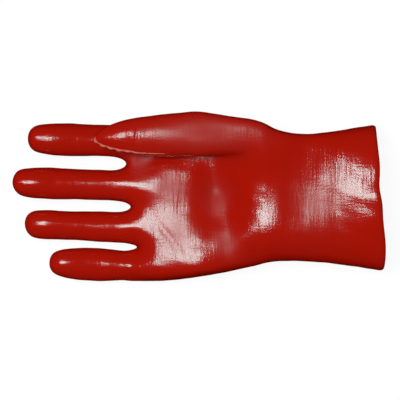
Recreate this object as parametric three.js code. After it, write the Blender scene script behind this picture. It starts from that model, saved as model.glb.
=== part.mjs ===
// A coated work glove for the right hand, lying on its back with the palm up.
// It is one dipped shell: four fingers, a thumb that lies over the palm, the palm, the wrist and an open cuff.
// The shell is a smooth subdivision surface through the sections listed below, given its wall towards the inside.
// X runs from the fingertips to the cuff, Y towards the thumb's side, and Z up from the surface that it lies on.
import * as THREE from "three";

// Driving dimensions, in millimetres.
const WALL = 1.5; // coating and the knit bonded under it
const PALM_LENGTH = 123; // narrowest part of the wrist to the finger crotches
const CUFF_LENGTH = 55.5; // narrowest part of the wrist to the rim, on the centre line
const CUFF_WIDTH = 105;
const CUFF_HEIGHT = 46;
const RIM_SLANT = 7; // how much further the rim reaches on the little finger's side
const WRIST_WIDTH = 92;
const WRIST_HEIGHT = 40;
const WRIST_LIFT = 1; // the wrist's back stands this far off the surface
const KNUCKLE_HEIGHT = 25;
const FINGER_LENGTH = 87.2; // the longest finger, from the crotch line to its tip
const FINGER_WIDTH = 23;
const FINGER_HEIGHT = 21;
const FINGER_GAP = 9.4; // the widest gap between two fingers, at their roots
const CROTCH_SHIFT = 3.8; // how far a gap's end may lie from the crotch line
const TIP_LEAN = 3; // how far a fingertip may lean to the thumb's side
const TIP_RISE = 5.5; // how much further off the surface a fingertip may be than its root
const FINGER_LIFT = 1.2; // the fingers' undersides stand this far off the surface
const KNUCKLE_OFFSET = -4; // the finger row's centre from the wrist's centre line
const THENAR_HEIGHT = 45; // top of the thumb's root above the surface
const THENAR_BULGE = 10.5; // how far the thumb's root stands out past the wrist's side
const THUMB_LENGTH = 90; // its crotch to its tip
const THUMB_WIDTH = 31.5;
const THUMB_HEIGHT = 23;
const THUMB_SIDE = 44.8; // its centre line from the wrist's centre line
const THENAR_STAND = 11; // how far the thumb's side of the hand stands up off the surface at the thumb's root
const WEB_DEPTH = 4.5; // how far back a crotch's rounded edge reaches on the palm and on the back
const PRESS = 1; // how far the underside would sink in if the surface did not press it flat
const PRESS_EDGE = 0.8; // height over which the pressed area rounds into the rest

// The fingers from the thumb's side. Length, width and height are shares of FINGER_LENGTH, FINGER_WIDTH and
// FINGER_HEIGHT. Web is the gap to the next finger, as a share of FINGER_GAP, and crotch how far that gap's end lies
// behind the crotch line, of CROTCH_SHIFT. Lean is a share of TIP_LEAN, and rise of TIP_RISE.
const FINGERS = [
  { name: "index", length: 0.876, width: 1, height: 0.975, web: 1, crotch: -1.25, lean: 0.63, rise: 0.75 },
  { name: "middle", length: 1, width: 1, height: 1, web: 0.83, crotch: -0.4, lean: 0.87, rise: 1 },
  { name: "ring", length: 0.901, width: 0.978, height: 0.975, web: 0.575, crotch: 0.75, lean: 1, rise: 0.875 },
  { name: "little", length: 0.695, width: 0.957, height: 0.925, web: 0, crotch: 0, lean: 0.8, rise: 0.75 },
].map((share) => ({
  name: share.name,
  length: share.length * FINGER_LENGTH,
  width: share.width * FINGER_WIDTH,
  height: share.height * FINGER_HEIGHT,
  web: share.web * FINGER_GAP,
  crotch: share.crotch * CROTCH_SHIFT,
  lean: share.lean * TIP_LEAN,
  rise: share.rise * TIP_RISE,
}));

// Girth along each finger: along is a share of its length from the crotch line, width and height of its own.
const FINGER_SECTIONS = {
  index: [
    { along: 0.1, width: 1.04, height: 1.03 },
    { along: 0.29, width: 0.99, height: 0.98 },
    { along: 0.47, width: 1.02, height: 0.99 },
    { along: 0.64, width: 1.04, height: 1 },
  ],
  middle: [
    { along: 0.09, width: 1.0, height: 1.04 },
    { along: 0.27, width: 0.97, height: 0.99 },
    { along: 0.46, width: 0.95, height: 0.96 },
    { along: 0.66, width: 1.0, height: 0.99 },
  ],
  ring: [
    { along: 0.1, width: 1.02, height: 1.04 },
    { along: 0.27, width: 1.0, height: 1.0 },
    { along: 0.46, width: 0.95, height: 0.97 },
    { along: 0.66, width: 0.93, height: 0.97 },
  ],
  little: [
    { along: 0.12, width: 0.99, height: 1.05 },
    { along: 0.3, width: 1.07, height: 1.02 },
    { along: 0.48, width: 1.09, height: 1.0 },
    { along: 0.66, width: 1.05, height: 0.99 },
  ],
};

// The round end of each finger, in shares of its width: back is the distance behind the tip.
const TIP_SECTIONS = [
  { back: 0.52, width: 0.93, height: 0.93 },
  { back: 0.17, width: 0.68, height: 0.68 },
];

// The thumb: along is a share of its length from crotch to tip. Width and height are shares of its own, side is the
// centre line's shift and top the height's loss, in shares of its width and height.
const THUMB_SECTIONS = [
  { along: 0.1, width: 1.0, height: 0.88, side: 0.03, top: 0.03 },
  { along: 0.27, width: 1.0, height: 0.93, side: 0.025, top: 0.09 },
  { along: 0.46, width: 0.96, height: 0.86, side: 0, top: 0.17 },
  { along: 0.67, width: 0.84, height: 0.72, side: -0.02, top: 0.26 },
  { along: 0.83, width: 0.63, height: 0.56, side: -0.03, top: 0.35 },
  { along: 0.94, width: 0.36, height: 0.34, side: -0.05, top: 0.46 },
];
const THUMB_TIP = { side: -0.07, top: 0.6 };

// The palm from the crotches back to the wrist. Along is a share of PALM_LENGTH from the wrist. Radial and ulnar are
// the two side edges and height the thickness, from 0 at the wrist to 1 at the knuckles. Bulge is a share of
// THENAR_BULGE, stand of THENAR_STAND and lift of WRIST_LIFT. The thumb grows out between the row that is marked and
// the one before it.
const PALM_SECTIONS = [
  { along: 0.87, radial: 1.0, ulnar: 1.0, height: 0.9, bulge: 0, stand: 0, lift: 0 },
  { along: 0.75, radial: 1.0, ulnar: 0.94, height: 0.75, bulge: 0, stand: 0, lift: 0 },
  { along: 0.62, radial: 1.05, ulnar: 0.8, height: 0.6, bulge: 0, stand: 0, lift: 0 },
  { along: 0.49, radial: 1.1, ulnar: 0.62, height: 0.46, bulge: 0, stand: 0.2, lift: 0 },
  { along: 0.3, radial: 0.9, ulnar: 0.27, height: 0.2, bulge: 0.42, stand: 1.75, lift: 0.1, thumb: true },
  { along: 0.19, radial: 0.4, ulnar: 0.05, height: 0.08, bulge: 0.2, stand: 1.45, lift: 0.4 },
  { along: 0.09, radial: 0.1, ulnar: -0.02, height: 0.02, bulge: 0.05, stand: 1.25, lift: 0.8 },
  { along: 0, radial: 0, ulnar: 0, height: 0, bulge: 0, stand: 0.95, lift: 1 },
];

// The cuff from the wrist to the rim: along, width and height go from 0 at the wrist to 1 at the rim, and stand is a
// share of THENAR_STAND.
const CUFF_SECTIONS = [
  { along: 0.27, width: 0.13, height: 0.2, stand: 0.78 },
  { along: 0.55, width: 0.45, height: 0.5, stand: 0.5 },
  { along: 0.8, width: 0.74, height: 0.8, stand: 0.18 },
  { along: 1, width: 1, height: 1, stand: 0 },
];

// Mounds and hollows of the upper side. Along is the centre from the wrist towards the fingers, as a share of
// PALM_LENGTH, and side the centre towards the thumb, as a share of half the knuckle row. Reach and spread are the
// size along X and Y in the same shares, and lift is the height as a share of KNUCKLE_HEIGHT.
const RELIEF = [
  { name: "hollow behind the middle finger", along: 0.47, side: -0.06, reach: 0.13, spread: 0.48, lift: -0.26 },
  { name: "palm's hollow", along: 0.38, side: 0.1, reach: 0.43, spread: 0.37, lift: -0.18 },
  { name: "hollow under the thumb", along: 0.56, side: 0.49, reach: 0.49, spread: 0.3, lift: -0.14 },
  { name: "little finger's mound", along: 0.54, side: -0.98, reach: 0.13, spread: 0.34, lift: 0.2 },
  { name: "thumb's mound", along: 0.28, side: 0.36, reach: 0.17, spread: 0.61, lift: 0.25 },
  { name: "rim's swell", along: -0.43, side: -0.07, reach: 0.13, spread: 0.8, lift: 0.07 },
  { name: "ridge along the palm", along: 0.29, side: -0.54, reach: 0.42, spread: 0.2, lift: 0.07 },
  { name: "little finger's root", along: 0.79, side: -0.94, reach: 0.29, spread: 0.31, lift: 0.26 },
  { name: "fingers' roots", along: 0.83, side: 0.21, reach: 0.37, spread: 0.36, lift: 0.12 },
  { name: "hollow before the roots", along: 0.7, side: 0.1, reach: 0.41, spread: 0.37, lift: -0.06 },
];

const RING_COUNT = 20; // points round the palm and the cuff
const LOOP_COUNT = 8; // points round a finger
const TOP_POWER = 2.45; // roundness of the sections: 2 is an ellipse, and more is fuller
const BACK_POWER = { hand: 5, rim: 3.4 };
const WIDEST = 0.46; // height of a section's widest point, as a share of its thickness
const SUBDIVISION_COUNT = 1;
const FIT_COUNT = 2; // rounds that draw the surface through its sections

const lerp = THREE.MathUtils.lerp;
const degrees = THREE.MathUtils.degToRad;

// The outline's height at a share u of the half width, 1 in the middle and 0 at the edge.
function crown(u, power) {
  return Math.pow(Math.max(0, 1 - Math.pow(Math.abs(u), power)), 1 / power);
}

// Where the knuckle row's columns lie: for each finger its outer edge, its middle and the next web, as Y.
function knuckleColumns() {
  const row = FINGERS.reduce((sum, f) => sum + f.width + f.web, 0);
  const columns = [];
  let y = KNUCKLE_OFFSET + row / 2;
  for (const finger of FINGERS) {
    finger.centre = y - finger.width / 2;
    columns.push(finger.centre);
    y -= finger.width + finger.web / 2;
    columns.push(y);
    y -= finger.web / 2;
  }
  columns.pop();
  const high = KNUCKLE_OFFSET + row / 2;
  const low = KNUCKLE_OFFSET - row / 2;
  const half = row / 2;
  const corner = Math.cos(degrees(360 / RING_COUNT));
  columns.unshift(KNUCKLE_OFFSET + half * corner);
  columns.push(KNUCKLE_OFFSET - half * corner);
  return { high, low, columns };
}

const KNUCKLES = knuckleColumns();

// A point's share of the half width, at an even angle on the cuff and at its finger on the knuckles.
function columnShare(c, knuckle) {
  const even = Math.cos(degrees((360 / RING_COUNT) * c));
  const top = c <= RING_COUNT / 2 ? c : RING_COUNT - c;
  if (top === 0 || top === RING_COUNT / 2) return even;
  const half = (KNUCKLES.high - KNUCKLES.low) / 2;
  const own = (KNUCKLES.columns[top - 1] - KNUCKLE_OFFSET) / half;
  return lerp(even, own, knuckle);
}

// One ring of the palm or cuff, as RING_COUNT points from the thumb's side over the palm and back under the hand.
function bodyRing({ x, high, low, bottom, top, knuckle, slant = 0, stand = 0, back = BACK_POWER.hand }) {
  const centre = (high + low) / 2;
  const half = (high - low) / 2;
  const middle = lerp(bottom, top, WIDEST);
  return Array.from({ length: RING_COUNT }, (_, c) => {
    const u = columnShare(c, knuckle);
    const upper = c <= RING_COUNT / 2;
    const z = upper
      ? middle + (top - middle) * crown(u, TOP_POWER)
      : middle - (middle - bottom) * crown(u, back);
    const raised = stand * Math.max(0, u) ** (upper ? 2 : 16);
    return new THREE.Vector3(x - slant * u, centre + half * u, z + raised);
  });
}

// Lifts a ring's upper points by the mounds and hollows.
function withRelief(ring) {
  const half = (KNUCKLES.high - KNUCKLES.low) / 2;
  for (let c = 1; c < RING_COUNT / 2; c++) {
    for (const r of RELIEF) {
      const dx = (-ring[c].x / PALM_LENGTH - r.along) / r.reach;
      const dy = (ring[c].y / half - r.side) / r.spread;
      ring[c].z += r.lift * KNUCKLE_HEIGHT * Math.exp(-dx * dx - dy * dy);
    }
  }
  return ring;
}

function palmRing(section) {
  const high = lerp(WRIST_WIDTH / 2, KNUCKLES.high, section.radial) + section.bulge * THENAR_BULGE;
  const low = lerp(-WRIST_WIDTH / 2, KNUCKLES.low, section.ulnar);
  const bottom = lerp(-PRESS, WRIST_LIFT, section.lift);
  const top = bottom + lerp(WRIST_HEIGHT, KNUCKLE_HEIGHT, section.height);
  const stand = section.stand * THENAR_STAND;
  const x = -section.along * PALM_LENGTH;
  return withRelief(bodyRing({ x, high, low, bottom, top, knuckle: section.along, stand }));
}

function cuffRing(section) {
  const width = lerp(WRIST_WIDTH, CUFF_WIDTH, section.width);
  const bottom = lerp(WRIST_LIFT, -PRESS, section.height);
  const top = bottom + lerp(WRIST_HEIGHT, CUFF_HEIGHT, section.height);
  const slant = (RIM_SLANT / 2) * section.along;
  const stand = section.stand * THENAR_STAND;
  const back = lerp(BACK_POWER.hand, BACK_POWER.rim, section.along);
  const x = section.along * CUFF_LENGTH;
  const shape = { x, high: width / 2, low: -width / 2, bottom, top, knuckle: 0, slant, stand, back };
  return withRelief(bodyRing(shape));
}

// The surface in the making: its points, and its faces of four points each.
const points = [];
const faces = [];

function add(list) {
  return list.map((p) => points.push(p) - 1);
}

// Faces between two loops of points. The first loop is nearer the cuff.
function bridge(near, far, closed = true) {
  const last = closed ? near.length : near.length - 1;
  for (let i = 0; i < last; i++) {
    const j = (i + 1) % near.length;
    faces.push([near[i], far[i], far[j], near[j]]);
  }
}

// Four faces that close a loop of eight points over a tip.
function close(loop, tip) {
  for (let k = 0; k < loop.length; k += 2) {
    faces.push([loop[k], tip, loop[(k + 2) % loop.length], loop[k + 1]]);
  }
}

// A loop of a finger or the thumb, from its thumb side over the top.
function tubeLoop({ x, y, bottom, top, width, turn = 0, slant = () => 0 }) {
  const middle = (bottom + top) / 2;
  return Array.from({ length: LOOP_COUNT }, (_, k) => {
    const angle = degrees((360 / LOOP_COUNT) * k + turn);
    const across = (width / 2) * Math.cos(angle);
    return new THREE.Vector3(x + slant(across), y + across, middle + ((top - middle) * Math.sin(angle)));
  });
}

// How far the crotch at each side of a finger lies behind the crotch line. Its free sides have none.
function crotchBeside(i) {
  return { before: i > 0 ? FINGERS[i - 1].crotch : 0, after: FINGERS[i].crotch };
}

function buildFingers(knuckleRing, webs) {
  FINGERS.forEach((finger, i) => {
    const c = 2 * i + 1;
    const first = i === 0 ? knuckleRing[0] : webs[i - 1];
    const last = i === FINGERS.length - 1 ? knuckleRing[RING_COUNT / 2] : webs[i];
    const upper = knuckleRing.slice(c, c + 3);
    const under = knuckleRing.slice(RING_COUNT - c - 2, RING_COUNT - c + 1);
    let loop = [first, ...upper, last, ...under];
    const tipShares = TIP_SECTIONS.map((t) => ({ ...t, along: 1 - (t.back * finger.width) / finger.length }));
    const { before, after } = crotchBeside(i);
    for (const s of [...FINGER_SECTIONS[finger.name], ...tipShares]) {
      const width = s.width * finger.width;
      const height = s.height * finger.height;
      const middle = finger.height / 2 + FINGER_LIFT + finger.rise * s.along * s.along;
      const behind = (1 - s.along) * (1 - s.along);
      const slant = (across) => behind * lerp(after, before, 0.5 + across / width);
      const x = -PALM_LENGTH - s.along * finger.length;
      const y = finger.centre + finger.lean * s.along;
      const next = add(tubeLoop({ x, y, bottom: middle - height / 2, top: middle + height / 2, width, slant }));
      bridge(loop, next);
      loop = next;
    }
    const tip = new THREE.Vector3(
      -PALM_LENGTH - finger.length,
      finger.centre + finger.lean,
      finger.height / 2 + FINGER_LIFT + finger.rise,
    );
    close(loop, add([tip])[0]);
  });
}

function buildThumb(loop, crotchX) {
  const y = THUMB_SIDE;
  for (const s of THUMB_SECTIONS) {
    const top = THENAR_HEIGHT - s.top * THUMB_HEIGHT;
    const next = add(tubeLoop({
      x: crotchX - s.along * THUMB_LENGTH,
      y: y + s.side * THUMB_WIDTH,
      bottom: top - s.height * THUMB_HEIGHT,
      top,
      width: s.width * THUMB_WIDTH,
      turn: 180 / LOOP_COUNT,
    }));
    bridge(loop, next);
    loop = next;
  }
  const tip = new THREE.Vector3(
    crotchX - THUMB_LENGTH,
    y + THUMB_TIP.side * THUMB_WIDTH,
    THENAR_HEIGHT - THUMB_TIP.top * THUMB_HEIGHT,
  );
  close(loop, add([tip])[0]);
}

// The knuckle row, where the palm's ring splits into the fingers, with a middle point in each web.
function buildKnuckles() {
  const shape = { high: KNUCKLES.high, low: KNUCKLES.low, bottom: -PRESS, top: KNUCKLE_HEIGHT - PRESS, knuckle: 1 };
  const ring = bodyRing({ x: -PALM_LENGTH, ...shape });
  const webs = [];
  FINGERS.forEach((finger, i) => {
    const c = 2 * i + 2;
    const under = RING_COUNT - c;
    ring[c].z = finger.height * 1.1 + FINGER_LIFT;
    if (i === FINGERS.length - 1) return;
    const x = -PALM_LENGTH + finger.crotch;
    for (const w of [c + 1, under - 1]) ring[w].x = x + WEB_DEPTH;
    ring[c + 1].z -= 0.18 * KNUCKLE_HEIGHT;
    ring[under - 1].z += 0.1 * KNUCKLE_HEIGHT;
    webs.push(new THREE.Vector3(x, ring[c + 1].y, (ring[c + 1].z + ring[under - 1].z) / 2));
  });
  return { ring: add(ring), webs: add(webs) };
}

function buildCage() {
  const rings = [
    ...[...CUFF_SECTIONS].reverse().map(cuffRing),
    ...[...PALM_SECTIONS].reverse().map(palmRing),
  ].map(add);
  const { ring: knuckleRing, webs } = buildKnuckles();
  rings.push(knuckleRing);
  const thenar = CUFF_SECTIONS.length + [...PALM_SECTIONS].reverse().findIndex((s) => s.thumb);
  for (let i = 0; i + 1 < rings.length; i++) {
    if (i !== thenar) {
      bridge(rings[i], rings[i + 1]);
      continue;
    }
    // The thumb takes the place of the three faces nearest its side.
    bridge(rings[i].slice(3), rings[i + 1].slice(3), false);
    bridge([rings[i][RING_COUNT - 1], rings[i][0]], [rings[i + 1][RING_COUNT - 1], rings[i + 1][0]], false);
    const loop = [...rings[i].slice(0, 4), ...rings[i + 1].slice(0, 4).reverse()];
    buildThumb(loop, points[rings[i + 1][2]].x);
  }
  buildFingers(knuckleRing, webs);
  return rings[0];
}

// Which points each point meets along an edge and across a face, and whether it lies on the open rim.
function neighbours(count, quads) {
  const found = Array.from({ length: count }, () => ({ edges: new Map(), across: [] }));
  for (const quad of quads) {
    quad.forEach((v, i) => {
      const next = quad[(i + 1) % 4];
      found[v].across.push(quad[(i + 2) % 4]);
      found[v].edges.set(next, (found[v].edges.get(next) ?? 0) + 1);
      found[next].edges.set(v, (found[next].edges.get(v) ?? 0) + 1);
    });
  }
  return found.map(({ edges, across }) => {
    const rim = [...edges].filter(([, uses]) => uses === 1).map(([v]) => v);
    return { edges: [...edges.keys()], across, rim };
  });
}

function sum(list, vertices) {
  return list.reduce((total, v) => total.add(vertices[v]), new THREE.Vector3());
}

// Where each point of a cage of quads ends up on the smooth surface.
function limitPoints(vertices, links) {
  return vertices.map((p, v) => {
    const { edges, across, rim } = links[v];
    if (rim.length) return sum(rim, vertices).addScaledVector(p, 4).divideScalar(6);
    const n = edges.length;
    const near = sum(edges, vertices).multiplyScalar(4);
    return near.add(sum(across, vertices)).addScaledVector(p, n * n).divideScalar(n * (n + 5));
  });
}

// Moves the cage until its smooth surface passes through the points that it was given.
function fitCage(targets, quads) {
  const links = neighbours(targets.length, quads);
  const cage = targets.map((p) => p.clone());
  for (let round = 0; round < FIT_COUNT; round++) {
    limitPoints(cage, links).forEach((p, v) => cage[v].add(targets[v]).sub(p));
  }
  return cage;
}

// One round of Catmull-Clark subdivision.
function subdivide(vertices, quads) {
  const links = neighbours(vertices.length, quads);
  const centres = quads.map((quad) => sum(quad, vertices).divideScalar(4));
  const around = vertices.map(() => []);
  const edges = new Map();
  quads.forEach((quad, q) => quad.forEach((v, i) => {
    const w = quad[(i + 1) % 4];
    around[v].push(q);
    const key = v < w ? `${v},${w}` : `${w},${v}`;
    if (!edges.has(key)) edges.set(key, { ends: [v, w], sides: [] });
    edges.get(key).sides.push(q);
  }));
  const moved = vertices.map((p, v) => {
    const { edges: near, rim } = links[v];
    if (rim.length) return sum(rim, vertices).addScaledVector(p, 6).divideScalar(8);
    const n = near.length;
    const face = sum(around[v], centres).divideScalar(n);
    return sum(near, vertices).divideScalar(n).add(face).addScaledVector(p, n - 2).divideScalar(n);
  });
  const made = [...moved, ...centres];
  for (const edge of edges.values()) {
    const middle = sum(edge.ends, vertices);
    if (edge.sides.length === 2) middle.add(sum(edge.sides, centres)).divideScalar(4);
    else middle.divideScalar(2);
    edge.index = made.push(middle) - 1;
  }
  const between = (v, w) => edges.get(v < w ? `${v},${w}` : `${w},${v}`).index;
  const split = quads.flatMap((quad, q) => quad.map((v, i) => {
    const before = quad[(i + 3) % 4];
    const after = quad[(i + 1) % 4];
    return [v, between(v, after), vertices.length + q, between(before, v)];
  }));
  return { vertices: made, quads: split };
}

// The surface's outward direction at each point.
function normals(vertices, quads) {
  const found = vertices.map(() => new THREE.Vector3());
  for (const quad of quads) {
    const [a, b, c, d] = quad.map((v) => vertices[v]);
    const n = new THREE.Vector3().crossVectors(c.clone().sub(a), d.clone().sub(b));
    for (const v of quad) found[v].add(n);
  }
  return found.map((n) => n.normalize());
}

// Height of a point once the surface below has pressed it flat.
function pressed(z, floor) {
  const h = z - floor;
  if (h >= PRESS_EDGE) return z;
  return floor + (h <= -PRESS_EDGE ? 0 : (h + PRESS_EDGE) ** 2 / (4 * PRESS_EDGE));
}

// The closed shell: the outer surface, the same one WALL further in, and the rim between them.
function shellGeometry() {
  buildCage();
  let skin = { vertices: fitCage(points, faces), quads: faces };
  for (let round = 0; round < SUBDIVISION_COUNT; round++) skin = subdivide(skin.vertices, skin.quads);
  const links = neighbours(skin.vertices.length, skin.quads);
  const outer = limitPoints(skin.vertices, links);
  const out = normals(outer, skin.quads);
  const inner = outer.map((p, v) => p.clone().addScaledVector(out[v], -WALL));
  const atRim = links.map(({ rim }) => rim.length > 0);
  outer.forEach((p) => { p.z = pressed(p.z, 0); });
  inner.forEach((p, v) => {
    p.z = pressed(p.z, WALL);
    if (atRim[v]) p.x = outer[v].x;
  });
  const count = outer.length;
  const all = [...skin.quads, ...skin.quads.map((quad) => [...quad].reverse().map((v) => v + count))];
  for (const quad of skin.quads) {
    quad.forEach((v, i) => {
      const w = quad[(i + 1) % 4];
      if (atRim[v] && atRim[w] && links[v].rim.includes(w)) all.push([w, v, v + count, w + count]);
    });
  }
  const vertices = [...outer, ...inner];
  const index = all.flatMap(([a, b, c, d]) => {
    const across = vertices[a].distanceTo(vertices[c]) <= vertices[b].distanceTo(vertices[d]);
    return across ? [a, b, c, a, c, d] : [a, b, d, b, c, d];
  });
  const geometry = new THREE.BufferGeometry().setFromPoints(vertices).setIndex(index);
  geometry.computeBoundingBox();
  const { min, max } = geometry.boundingBox;
  geometry.translate(-(min.x + max.x) / 2, -(min.y + max.y) / 2, 0);
  geometry.computeVertexNormals();
  return geometry;
}

const coating = new THREE.MeshStandardMaterial({ color: 0xa31808, roughness: 0.3, metalness: 0 });

const glove = new THREE.Group();
const shell = new THREE.Mesh(shellGeometry(), coating);
shell.name = "glove_shell";
glove.add(shell);

export default glove;
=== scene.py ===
"""Looks of a coated work glove that lies on its back: coat, knitted liner, thumb seam, studio and camera.

The glove's form is drawn in millimetres, from the same sizes and tables as the part's own source. Pieces,
lights and camera are in metres, in the part's frame: X from the fingertips to the cuff, Y towards the
thumb's side and Z up, out of the palm.
"""

from __future__ import annotations

import logging
import math
from collections import Counter
from dataclasses import dataclass, field, replace
from enum import Enum
from typing import Callable, Iterable, Mapping, Sequence

import bpy
import numpy as np
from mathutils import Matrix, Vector
from mathutils.bvhtree import BVHTree

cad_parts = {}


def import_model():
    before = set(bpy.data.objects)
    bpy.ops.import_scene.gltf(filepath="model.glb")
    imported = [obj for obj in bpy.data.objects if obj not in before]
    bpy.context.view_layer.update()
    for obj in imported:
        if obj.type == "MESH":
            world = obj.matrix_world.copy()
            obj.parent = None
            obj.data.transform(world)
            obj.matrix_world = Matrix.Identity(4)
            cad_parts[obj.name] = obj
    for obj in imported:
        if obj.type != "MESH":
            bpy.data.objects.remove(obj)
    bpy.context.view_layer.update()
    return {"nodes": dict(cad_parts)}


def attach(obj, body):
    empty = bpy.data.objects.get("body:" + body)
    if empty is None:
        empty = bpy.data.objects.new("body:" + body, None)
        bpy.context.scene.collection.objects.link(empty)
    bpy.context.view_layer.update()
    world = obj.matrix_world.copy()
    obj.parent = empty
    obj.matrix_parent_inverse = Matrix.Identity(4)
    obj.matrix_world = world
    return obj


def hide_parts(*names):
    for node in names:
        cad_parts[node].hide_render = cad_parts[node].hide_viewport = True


LOG = logging.getLogger("glove")
MM = 0.001
NODE = "glove_shell"
TINY = 1e-12
# Folds and dents show in full where a normal's Z is at least 1 / UPPER_GAIN.
UPPER_GAIN = 1.6

Triple = tuple[float, float, float]
Colour = Triple
Face = tuple[int, ...]
Stops = tuple[tuple[float, float], ...]


@dataclass(frozen=True)
class Girth:
    """A finger's width and height at one place along it, as shares of its own."""

    along: float
    width: float
    height: float


@dataclass(frozen=True)
class Finger:
    """One finger, in shares of the glove's finger sizes, with its girths from the root on.

    Web is the gap to the next finger, crotch how far the end of that gap is shifted, and lean and rise how
    far the tip moves aside and up.
    """

    length: float
    width: float
    height: float
    web: float
    crotch: float
    lean: float
    rise: float
    girths: tuple[Girth, ...]


@dataclass(frozen=True)
class ThumbRow:
    """The thumb's section at one place along it, in shares of its own width and height.

    Side moves its middle aside, and top lowers its highest point.
    """

    along: float
    width: float
    height: float
    side: float
    top: float


@dataclass(frozen=True)
class PalmRow:
    """The palm's section at one place, from the wrist at 0 towards the knuckles at 1.

    Its edge on the thumb's side, radial, its other edge, ulnar, and its height go from the wrist's at 0 to
    the knuckles' at 1. Bulge and stand move the thumb's side out and up, lift raises the underside, and
    thumb is set on the ring in front of which the thumb's root is left open.
    """

    along: float
    radial: float
    ulnar: float
    height: float
    bulge: float
    stand: float
    lift: float
    thumb: bool = False


@dataclass(frozen=True)
class CuffRow:
    """The cuff's section at one place, from the wrist at 0 to the rim at 1.

    Width and height go from the wrist's at 0 to the rim's at 1, and stand raises the thumb's side.
    """

    along: float
    width: float
    height: float
    stand: float


@dataclass(frozen=True)
class Mound:
    """A mound or hollow of the palm's upper side, in shares of the palm's sizes.

    Side is positive towards the thumb, reach is along the glove and spread across it.
    """

    along: float
    side: float
    reach: float
    spread: float
    lift: float


def lerp(a: float, b: float, share: float) -> float:
    """The value at a share of the way from a to b."""
    return a + (b - a) * share


def crown(u: float, power: float) -> float:
    """A section's height at a share u of its half width: 1 in the middle and 0 at the edge."""
    return max(0.0, 1.0 - abs(u) ** power) ** (1.0 / power)


@dataclass
class Skin:
    """A surface of quads, with what is known at each of its points.

    That is its place, its normal, how far it is on the thumb, and whether it is on the cuff's rim.
    """

    points: np.ndarray
    quads: np.ndarray
    normals: np.ndarray
    thumb: np.ndarray
    rim: np.ndarray


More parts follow.
